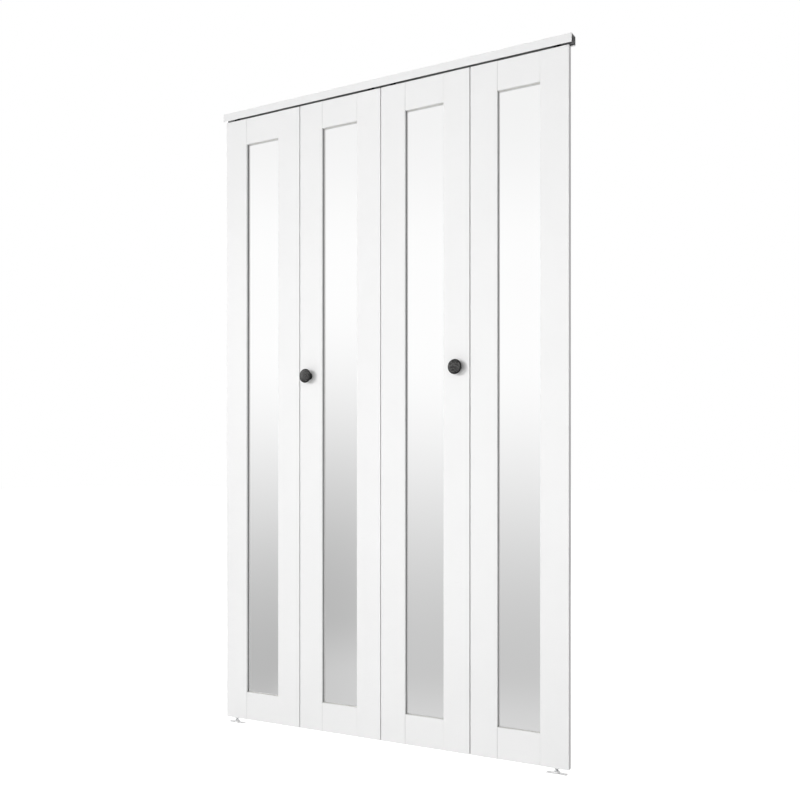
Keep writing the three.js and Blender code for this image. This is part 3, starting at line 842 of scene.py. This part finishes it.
class DOOR_OT_top_pivots(bpy.types.Operator):
    """Turns the sleeves in the tops of the jamb panels, with their sprung pins and springs"""

    bl_idname = "door.top_pivots"
    bl_label = "Top pivots"

    def execute(self, context):
        sides = context.scene.door_detail.sides
        fitting, bore, chamber, land, base = 5.5 * MM, 3.5 * MM, 4.6 * MM, 4 * MM, 10.4 * MM
        pin_radius, shoulder_height, tip = 3.1 * MM, 6 * MM, 1.2 * MM
        wire, coil_radius, turns, play, travel = 0.45 * MM, 3.2 * MM, 9, 0.2 * MM, 12 * MM
        for side in SIDES:
            sleeve, pin = side + "_top_pivot_sleeve", side + "_top_pivot_pin"
            panel_top = span_of(side + "_jamb_top_rail")[1][2]
            low, high, middle = span_of(sleeve)
            flange = (high[0] - low[0]) / 2
            pin_low, pin_high, _ = span_of(pin)
            floor = low[2] + base
            profile = [
                [0, low[2]], [fitting, low[2]], [fitting, panel_top], [flange, panel_top], [flange, high[2]],
                [bore, high[2]], [bore, panel_top - land], [chamber, panel_top - land], [chamber, floor],
                [0, floor],
            ]
            turned_piece(sleeve, profile, 0.4 * MM, "black_plastic", sides)
            collar = (pin_high[0] - pin_low[0]) / 2
            shoulder = pin_low[2] + shoulder_height
            profile = [
                [0, pin_low[2]], [collar, pin_low[2]], [collar, shoulder], [pin_radius, shoulder],
                [pin_radius, pin_high[2] - tip], [pin_radius - tip, pin_high[2]], [0, pin_high[2]],
            ]
            turned_piece(pin, profile, 0.3 * MM, "pin_steel", sides)
            low_end, high_end = floor + play, pin_low[2] - play
            shape = on_axis(sleeve, coil(coil_radius, wire, low_end + wire, high_end - wire, turns))
            spring = new_piece(side + "_top_pivot_spring", shape, body_of(sleeve), "pin_steel", 60)
            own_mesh(spring)
        return {"FINISHED"}


def coil(radius, wire, low, high, turns, section=8, steps=20):
    """A coil spring about Z: its centreline is radius * (cos a, sin a) with the height rising evenly with a,
    and each loop of the wire lies in the plane of the axis and the point that it goes round."""
    angles = np.linspace(0, 2 * np.pi * turns, steps * turns + 1)[:, None]
    round_wire = np.linspace(0, 2 * np.pi, section, endpoint=False)[None, :]
    reach = radius + wire * np.cos(round_wire)
    heights = low + (high - low) * angles / angles[-1] + wire * np.sin(round_wire)
    return skin(np.stack([reach * np.cos(angles), reach * np.sin(angles), heights], -1))


class DOOR_OT_guides(bpy.types.Operator):
    """Turns the guide stems in the tops of the lead panels and the rollers that run in the track"""

    bl_idname = "door.guides"
    bl_label = "Guides"

    def execute(self, context):
        sides = context.scene.door_detail.sides
        fitting, stem_radius, collar, head, bore = 5.5 * MM, 3 * MM, 5 * MM, 4.2 * MM, 3.4 * MM
        cap_height, play, collar_height = 10 * MM, 0.4 * MM, 1.5 * MM
        hub, hub_foot, tyre, tyre_foot, dish = 1.4 * MM, 1.8 * MM, 1.8 * MM, 2.2 * MM, 1.2 * MM
        for side in SIDES:
            stem, roller = side + "_guide_stem", side + "_guide_roller"
            panel_top = span_of(side + "_lead_top_rail")[1][2]
            low, high, _ = span_of(stem)
            wheel_low, wheel_high, _ = span_of(roller)
            cap = (high[0] - low[0]) / 2
            seat, neck = wheel_low[2] - play, wheel_high[2] + play
            profile = [
                [0, low[2]], [fitting, low[2]], [fitting, panel_top], [cap, panel_top],
                [cap, panel_top + cap_height], [stem_radius, panel_top + cap_height],
                [stem_radius, seat - collar_height], [collar, seat - collar_height], [collar, seat],
                [stem_radius, seat], [stem_radius, neck], [head, neck], [head, high[2]], [0, high[2]],
            ]
            turned_piece(stem, profile, 0.35 * MM, "black_plastic", sides)
            rim = (wheel_high[0] - wheel_low[0]) / 2
            bottom, top = wheel_low[2], wheel_high[2]
            section = [
                [bore, bottom], [bore + hub, bottom], [bore + hub_foot, bottom + dish],
                [rim - tyre_foot, bottom + dish], [rim - tyre, bottom], [rim, bottom],
                [rim, top], [rim - tyre, top], [rim - tyre_foot, top - dish],
                [bore + hub_foot, top - dish], [bore + hub, top], [bore, top],
            ]
            wheel = on_axis(stem, turned(eased(section, 0.7 * MM, closed=True), sides, joined=True))
            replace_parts(new_piece("turned_" + roller, wheel, body_of(roller), "roller_nylon"), roller)
        return {"FINISHED"}


class DOOR_OT_bottom_pivots(bpy.types.Operator):
    """Turns the threaded bottom pivots and their hexagonal adjusting nuts"""

    bl_idname = "door.bottom_pivots"
    bl_label = "Bottom pivots"

    def execute(self, context):
        sides = context.scene.door_detail.sides
        fitting, pin_radius, pitch, thread = 5.5 * MM, 4 * MM, 1.25 * MM, 0.4 * MM
        flange_thickness, start, end_chamfer = 1.5 * MM, 1.2 * MM, 1.1 * MM
        nut_height, nut_across, nut_chamfer = 2.5 * MM, 11.2 * MM, 0.5 * MM
        for side in SIDES:
            node = side + "_bottom_pivot"
            panel_bottom = span_of(side + "_jamb_bottom_rail")[0][2]
            low, high, _ = span_of(node)
            flange = (high[0] - low[0]) / 2
            flange_low = panel_bottom - flange_thickness
            ridges = np.arange(low[2] + start, flange_low, pitch / 2)
            threads = [[pin_radius - thread * (number % 2), z] for number, z in enumerate(ridges)]
            profile = [[0, low[2]], [pin_radius - end_chamfer, low[2]], *threads, [pin_radius, flange_low],
                       [flange, flange_low], [flange, panel_bottom], [fitting, panel_bottom],
                       [fitting, high[2]], [0, high[2]]]
            turned_piece(node, profile, 0.15 * MM, "zinc_plate", sides, 2)
            nut = on_axis(node, hex_solid(nut_across, flange_low - nut_height, flange_low, nut_chamfer))
            new_piece(node + "_nut", nut, body_of(node), "zinc_plate", 25)
        return {"FINISHED"}


# Hinges

BARREL_SETBACK = 4 * MM
BARREL_RADIUS = 3.6 * MM
BARREL_BORE = 2 * MM
LEAF_START = 4.4 * MM
LEAF_REACH = 30 * MM
LEAF_THICKNESS = 1.2 * MM
LEAF_SCREW_SETBACK = 18 * MM
LEAF_SCREW_PITCH = 36 * MM
KNUCKLES = 5
KNUCKLE_GAP = 0.4 * MM


def rolled_knuckle():
    """The section of a knuckle, with the barrel's axis above the origin and the leaf towards +X: the leaf's
    strip runs under the barrel and rolls round it, along two arcs, until it nearly meets the leaf again."""
    start, end, inner_start = np.radians([-90, -398, -62])
    outer = np.linspace(start, end, 40)
    inner = np.linspace(end, inner_start, 36)
    bury = LEAF_START + 1 * MM
    sink = 0.02 * MM
    arcs = [np.column_stack([radius * np.cos(angles), BARREL_SETBACK + radius * np.sin(angles)])
            for radius, angles in ((BARREL_RADIUS, outer), (BARREL_BORE, inner))]
    strip = [[bury, LEAF_THICKNESS - sink], [bury, sink], [0.9 * MM, sink]]
    return np.vstack([strip, *arcs, [[2.3 * MM, LEAF_THICKNESS - sink]]])


def hinge_leaf(parity, low, high):
    """One leaf about the barrel's axis: a plate with two round corners and its own knuckles, from the ones
    of the given parity counted from the bottom."""
    height = high - low
    corner, edge = 3 * MM, 0.2 * MM
    half = height / 2
    square = np.array([[LEAF_START, -half], [LEAF_REACH, -half], [LEAF_REACH, half], [LEAF_START, half]])
    outline = eased(square, corner, 6, closed=True)
    inner = square.mean(0) + (outline - square.mean(0)) * (1 - edge / half)
    knuckle = (height - (KNUCKLES - 1) * KNUCKLE_GAP) / KNUCKLES
    parts = [moved(plate(outline, inner, LEAF_THICKNESS, edge), (0, 0, 0), FLAT_ON_BACK)]
    for number in range(parity, KNUCKLES, 2):
        bottom = number * (knuckle + KNUCKLE_GAP) - half
        parts.append(swept(rolled_knuckle(), [bottom, bottom + knuckle]))
    return merged(parts)


class DOOR_OT_hinges(bpy.types.Operator):
    """Forms the hinge leaves with rolled knuckles, their cross-head screws and their domed pins"""

    bl_idname = "door.hinges"
    bl_label = "Hinges"

    def execute(self, context):
        detail = context.scene.door_detail
        screw = cross_head(radius=3.6 * MM, height=0.8 * MM, shank_radius=1.7 * MM,
                           shank_length=13 * MM, tip_length=3 * MM)
        for side, sign in SIDES.items():
            back = span_of(side + "_jamb_top_rail")[1][1]
            for role, parity, towards in (("jamb", 0, sign), ("lead", 1, -sign)):
                screws = []
                for place in PLACES:
                    node = f"{side}_{place}_hinge_{role}_leaf"
                    axis = span_of(f"{side}_{place}_hinge_pin")[2]
                    low, high, middle = span_of(node)
                    mirror = np.diag([towards, 1, 1])
                    leaf = moved(hinge_leaf(parity, low[2], high[2]), (axis[0], back, middle[2]), mirror)
                    piece = new_piece("rolled_" + node, leaf, body_of(node), "zinc_plate")
                    ease_edges(piece, 0.12 * MM, 1)
                    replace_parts(piece, node)
                    x = axis[0] + towards * LEAF_SCREW_SETBACK
                    for offset in (-LEAF_SCREW_PITCH / 2, LEAF_SCREW_PITCH / 2):
                        seat = (x, back + LEAF_THICKNESS, middle[2] + offset)
                        screws.append(moved(screw, seat, TOWARDS_BACK))
                name = f"{side}_{role}_hinge_screws"
                new_piece(name, merged(screws), body_of(node), "pin_steel", 30)
            for place in PLACES:
                node = f"{side}_{place}_hinge_pin"
                low, high, _ = span_of(node)
                head = (high[0] - low[0]) / 2
                under, shank = high[2] - 1.2 * MM, 1.5 * MM
                profile = [[0, low[2]], [shank, low[2]], [shank, under], [head, under],
                           [head, high[2] - 0.6 * MM], [0.6 * head, high[2] - 0.1 * MM], [0, high[2]]]
                turned_piece(node, profile, 0.4 * MM, "pin_steel", detail.sides)
        return {"FINISHED"}


# Knobs

# Radius and height of the knob's outline, from the middle of its face to the foot of its base, as shares
KNOB_OUTLINE_SHARES = [
    [0, 1], [0.45, 0.985], [0.78, 0.95], [0.93, 0.915], [0.985, 0.89], [1, 0.86], [0.985, 0.83],
    [0.92, 0.81], [0.65, 0.79], [0.42, 0.76], [0.32, 0.66], [0.3, 0.4], [0.31, 0.2], [0.42, 0.12],
    [0.5, 0.07], [0.5, 0],
]
CURVE_STEPS = 8
FACE_STEPS = 3 * CURVE_STEPS
FACE_LOOPS = 40
FACE_EDGE = 0.93


def smooth_curve(points, steps):
    """A curve through all the points: between each two, the cubic whose ends lean along their neighbours."""
    points = np.asarray(points, float)
    padded = np.vstack([2 * points[0] - points[1], points, 2 * points[-1] - points[-2]])
    before, start, end, beyond = padded[:-3], padded[1:-2], padded[2:-1], padded[3:]
    t = np.linspace(0, 1, steps, endpoint=False)[:, None, None]
    cubic = 0.5 * (2 * start + (end - before) * t + (2 * before - 5 * start + 4 * end - beyond) * t ** 2
                   + (3 * start - before - 3 * end + beyond) * t ** 3)
    return np.vstack([cubic.transpose(1, 0, 2).reshape(-1, points.shape[1]), points[-1:]])


def hammer_marks(x, y, radius, depth, seed):
    """Shallow round dents over a disc. Their middles follow a sunflower spiral, each nudged by a seeded
    random step, and each dent is depth * exp(-(distance / width)^2)."""
    count = 150
    width = 0.065 * radius
    number = np.arange(count)
    turn = number * math.pi * (3 - math.sqrt(5))
    reach = radius * np.sqrt((number + 0.5) / count)
    nudge = np.random.default_rng(seed).normal(0, 0.35 * width, (2, count))
    dents_x = reach * np.cos(turn) + nudge[0]
    dents_y = reach * np.sin(turn) + nudge[1]
    gap = (x[..., None] - dents_x) ** 2 + (y[..., None] - dents_y) ** 2
    return -depth * np.exp(-gap / width ** 2).sum(-1)


class DOOR_OT_knobs(bpy.types.Operator):
    """Turns the knobs with their hammered faces, and the bolts that hold them"""

    bl_idname = "door.knobs"
    bl_label = "Knobs"

    def execute(self, context):
        sides = 2 * context.scene.door_detail.sides
        bolt_radius, bolt_head, bolt_head_height, bolt_grip = 2 * MM, 4.2 * MM, 2 * MM, 8 * MM
        dent_depth, seed, shaded_rim_from, shaded_rim_width, shaded_rim_depth = 0.16 * MM, 11, 0.8, 0.08, 0.84
        for number, side in enumerate(SIDES):
            node = side + "_knob"
            low, high, middle = span_of(node)
            front, back = (corner[1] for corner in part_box(side + "_lead_top_rail"))
            radius, projection = (high[0] - low[0]) / 2, front - low[1]
            curve = smooth_curve(KNOB_OUTLINE_SHARES, CURVE_STEPS)[::-1] * [radius, projection]
            face = curve[-FACE_STEPS:]
            even = np.linspace(face[0, 0], 0.02 * radius, FACE_LOOPS)
            face = np.column_stack([even, np.interp(even, face[::-1, 0], face[::-1, 1])])
            profile = np.vstack([[[bolt_radius, 0]], curve[:-FACE_STEPS], face])
            grid = revolved(profile[:, 0], profile[:, 1], sides)
            fade = np.clip((FACE_EDGE * radius - profile[:, 0]) / (0.1 * radius), 0, 1)
            fade[:-FACE_LOOPS] = 0
            marks = hammer_marks(grid[..., 0], grid[..., 1], FACE_EDGE * radius, dent_depth, seed + number)
            grid[..., 2] += fade[:, None] * marks
            knob = moved(skin(grid), (middle[0], front, middle[2]), TOWARDS_FRONT)
            piece = new_piece("turned_" + node, knob, body_of(node), "knob_finish", 50)
            points = points_of(piece)
            from_axis = np.hypot(*(points - middle).T[[0, 2]])
            # The rim band and the back of the knob, which the finish darkens as painted shade of the rounded
            # edge.
            edge = np.clip((from_axis / radius - shaded_rim_from) / shaded_rim_width, 0, 1)
            edge = np.maximum(edge, front - points[:, 1] < shaded_rim_depth * projection)
            write_attribute(piece, "rim", "POINT", edge)
            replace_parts(piece, node)
            bolt = cross_head(bolt_head, bolt_head_height, bolt_radius, back - front + bolt_grip, MM)
            bolt = moved(bolt, (middle[0], back, middle[2]), TOWARDS_BACK)
            new_piece(side + "_knob_bolt", bolt, body_of(node), "pin_steel", 30)
        return {"FINISHED"}


# Stage

def build_floor(context):
    """A plain pale floor under the door. The camera sees it white, with the door's soft shadow, and its
    glow stands in for the light that a bright room throws up at the rails and the header."""
    level = CAD_BOUNDS[0][2] - 0.1 * MM
    camera_lift, glow = 0.64, 0.18
    steps = np.linspace(-45.0, 45.0, 3)
    x, y = np.meshgrid(steps, steps)
    vertices = np.stack([x.ravel(), y.ravel(), np.full(x.size, level)], -1)
    corner = (np.arange(2)[:, None] * 3 + np.arange(2)).ravel()
    faces = np.stack([corner, corner + 1, corner + 4, corner + 3], -1)
    mesh = bpy.data.meshes.new("floor")
    mesh.from_pydata(vertices.tolist(), [], faces.tolist())
    floor = bpy.data.objects.new("floor", mesh)
    context.scene.collection.objects.link(floor)
    floor.visible_glossy = False
    tree, shader = start_material("floor_paper", Roughness=0.9, Specular_IOR_Level=0.0)
    mesh.materials.append(bpy.data.materials["floor_paper"])
    camera_ray = add_node(tree, "ShaderNodeLightPath").outputs["Is Camera Ray"]
    mottle = noise(tree, coordinates(tree), 1.5, 2.0)
    bounced = mix_colour(tree, mottle, (0.7, 0.7, 0.7, 1), (0.74, 0.74, 0.74, 1))
    tree.links.new(mix_colour(tree, camera_ray, bounced, (0.9, 0.9, 0.9, 1)), shader.inputs["Base Color"])
    lift = calculate(tree, "ADD", calculate(tree, "MULTIPLY", camera_ray, camera_lift), glow)
    tree.links.new(lift, shader.inputs["Emission Strength"])
    shader.inputs["Emission Color"].default_value = (1, 1, 1, 1)


def build_world(context):
    """Even room light. The camera and glass see it white. Gloss sees the room in front of the door, by the
    height of the direction that a ray leaves in: a grey floor that pales towards the horizon, white walls
    above it, and a slightly greyer ceiling. One column of it lies lower than the rest, so that the second
    mirror from the left turns grey higher up than the others do."""
    world = bpy.data.worlds.new("studio")
    world.use_nodes = True
    context.scene.world = world
    tree = world.node_tree
    background = tree.nodes["Background"]
    rays = add_node(tree, "ShaderNodeLightPath").outputs
    direction = add_node(tree, "ShaderNodeTexCoord").outputs["Generated"]
    parts = add_node(tree, "ShaderNodeSeparateXYZ", {0: direction}).outputs
    column_left, column_right, column_drop = (-0.59, -0.555), (-0.52, -0.485), 0.055
    wall, dark_left, dark_right = 1.02, 0.5, 0.59
    floor_near, horizon, ceiling_from = (-0.267, -0.2), (-0.2, 0.137), (0.217, 0.365)
    column = calculate(tree, "MULTIPLY", remap(tree, parts["X"], *column_left),
                       remap(tree, parts["X"], *column_right, 1.0, 0.0))
    height = calculate(tree, "SUBTRACT", parts["Z"], calculate(tree, "MULTIPLY", column, column_drop))
    darkest = remap(tree, parts["X"], -0.56, -0.46, dark_left, dark_right)
    pale = remap(tree, height, *horizon)
    rise = calculate(tree, "MULTIPLY", pale, calculate(tree, "SUBTRACT", wall, darkest))
    near_floor = remap(tree, height, *floor_near, 0.1, 0.0)
    ceiling = remap(tree, parts["Z"], *ceiling_from, 0.0, 0.09)
    low = calculate(tree, "ADD", calculate(tree, "ADD", darkest, rise), near_floor)
    graded = calculate(tree, "SUBTRACT", low, ceiling)
    seen = calculate(tree, "MAXIMUM", rays["Is Camera Ray"], rays["Is Transmission Ray"])
    glossy = calculate(tree, "MULTIPLY", rays["Is Glossy Ray"], graded)
    special = calculate(tree, "MAXIMUM", seen, glossy)
    strength = calculate(tree, "MAXIMUM", special, context.scene.door_stage.sky)
    tree.links.new(strength, background.inputs["Strength"])
    background.inputs["Color"].default_value = (1, 1, 1, 1)


def add_lamp(context, name, place, target, size, power, glossy):
    """A square area lamp that faces its target."""
    lamp = bpy.data.lights.new(name, "AREA")
    lamp.size = size
    lamp.energy = power
    stand = bpy.data.objects.new(name, lamp)
    context.scene.collection.objects.link(stand)
    stand.location = place
    stand.rotation_euler = (Vector(target) - Vector(place)).to_track_quat("-Z", "Y").to_euler()
    stand.visible_glossy = glossy
    return stand


def build_lamps(context):
    """The key lamp, the fill in front of the door, a lamp for its back and top, and a small one for the
    glints on knobs and metal. Only the last one shows in gloss, and it lights nothing else."""
    stage = context.scene.door_stage
    target = Vector((0, 0, -1.0))
    level, rise = math.cos(stage.key_rise), math.sin(stage.key_rise)
    ahead = Vector((-math.sin(stage.key_turn) * level, -math.cos(stage.key_turn) * level, rise))
    key_place = target + ahead * stage.key_distance
    fill_place, fill_target, fill_size = (0.45, -2.5, -0.97), (0.15, 0, -0.97), 1.4
    back_place, back_size = (-2, 3, 1.6), 2
    glint_place, glint_size = (-4.57, -2.64, 0.14), 0.6
    add_lamp(context, "key", key_place, target, stage.key_size, stage.key_power, False)
    add_lamp(context, "fill", fill_place, fill_target, fill_size, stage.fill_power, False)
    add_lamp(context, "back", back_place, target, back_size, stage.back_power, False)
    glint = add_lamp(context, "glint", glint_place, target, glint_size, stage.glint_power, True)
    glint.visible_diffuse = False


def build_camera(context):
    """The photograph's view: level, with the horizon set by the shift."""
    stage = context.scene.door_stage
    camera = bpy.data.cameras.new("camera")
    camera.sensor_width = SENSOR_MM
    camera.lens = stage.focal_pixels / IMAGE_PIXELS * SENSOR_MM
    camera.shift_y = (stage.horizon_row - IMAGE_PIXELS / 2) / IMAGE_PIXELS
    holder = bpy.data.objects.new("camera", camera)
    context.scene.collection.objects.link(holder)
    holder.location = stage.camera_place
    holder.rotation_euler = (math.pi / 2, 0, stage.camera_turn)
    context.scene.camera = holder


class DOOR_OT_finishes(bpy.types.Operator):
    """Builds the shared effects and the finishes"""

    bl_idname = "door.finishes"
    bl_label = "Finishes"

    def execute(self, context):
        build_finishes(context.scene.door_colours)
        return {"FINISHED"}


class DOOR_OT_stage(bpy.types.Operator):
    """Sets the floor, the room light, the lamps and the camera"""

    bl_idname = "door.stage"
    bl_label = "Stage"

    def execute(self, context):
        context.scene.view_settings.view_transform = "Standard"
        build_floor(context)
        build_world(context)
        build_lamps(context)
        build_camera(context)
        return {"FINISHED"}


OPERATORS = (
    DOOR_OT_finishes,
    DOOR_OT_panel_frames,
    DOOR_OT_mirrors,
    DOOR_OT_glazing,
    DOOR_OT_back_boards,
    DOOR_OT_header,
    DOOR_OT_brackets,
    DOOR_OT_top_pivots,
    DOOR_OT_guides,
    DOOR_OT_bottom_pivots,
    DOOR_OT_hinges,
    DOOR_OT_knobs,
    DOOR_OT_stage,
)


class DOOR_PT_panel(bpy.types.Panel):
    """Lists the steps and the settings of the closet door"""

    bl_idname = "DOOR_PT_panel"
    bl_label = "Closet door"
    bl_space_type = "VIEW_3D"
    bl_region_type = "UI"
    bl_category = "Closet door"

    def draw(self, context):
        for operator in OPERATORS:
            self.layout.operator(operator.bl_idname)
        for settings in (context.scene.door_colours, context.scene.door_detail, context.scene.door_stage):
            box = self.layout.box()
            for name in settings.__annotations__:
                box.prop(settings, name)


CLASSES = (DoorColours, DoorDetail, DoorStage, *OPERATORS, DOOR_PT_panel)


def register():
    for entry in CLASSES:
        bpy.utils.register_class(entry)
    bpy.types.Scene.door_colours = PointerProperty(type=DoorColours)
    bpy.types.Scene.door_detail = PointerProperty(type=DoorDetail)
    bpy.types.Scene.door_stage = PointerProperty(type=DoorStage)


def unregister():
    del bpy.types.Scene.door_stage
    del bpy.types.Scene.door_detail
    del bpy.types.Scene.door_colours
    for entry in reversed(CLASSES):
        bpy.utils.unregister_class(entry)


def main():
    register()
    for operator in OPERATORS:
        group, name = operator.bl_idname.split(".")
        getattr(getattr(bpy.ops, group), name)()


if __name__ == "__main__":
    main()
